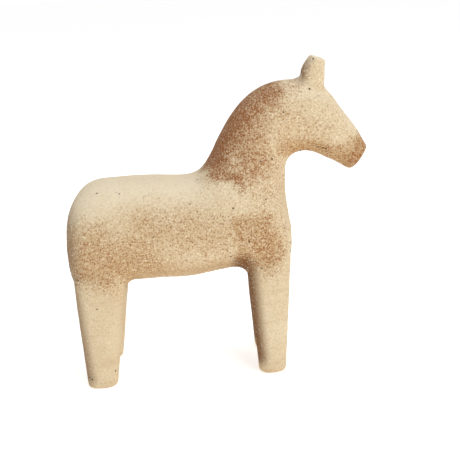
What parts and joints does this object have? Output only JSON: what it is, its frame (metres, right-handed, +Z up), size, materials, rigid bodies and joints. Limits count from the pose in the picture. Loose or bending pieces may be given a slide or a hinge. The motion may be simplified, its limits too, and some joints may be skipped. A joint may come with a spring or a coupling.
{
  "type": "dala horse",
  "caption": "Standing folk-craft horse figurine in coarse buff stoneware, hollow pressed body with arched neck, plain tapered legs and blunt ears.",
  "frame": {"origin": "on the surface it stands on, under the centre of its outer box", "axes": "+X towards the nose, +Y to the horse's left, +Z up"},
  "size_m": [0.192, 0.0612, 0.1969],
  "materials": {
    "stoneware": "unglazed coarse grogged stoneware, buff, with fine brown speckle and brushed iron oxide on the mane, haunch, shoulder and muzzle",
    "joining_slip": "thin layer of the same clay as slip, fired matt"
  },
  "bodies": {
    "root": {"right_half_shell": "stoneware", "left_half_shell": "stoneware", "hind_leg_left": "stoneware", "hind_leg_right": "stoneware", "fore_leg_left": "stoneware", "fore_leg_right": "stoneware", "ear_left": "stoneware", "ear_right": "stoneware", "seam_slip": "joining_slip", "hind_leg_slip_left": "joining_slip", "hind_leg_slip_right": "joining_slip", "fore_leg_slip_left": "joining_slip", "fore_leg_slip_right": "joining_slip", "ear_slip_left": "joining_slip", "ear_slip_right": "joining_slip"}
  },
  "joints": []
}
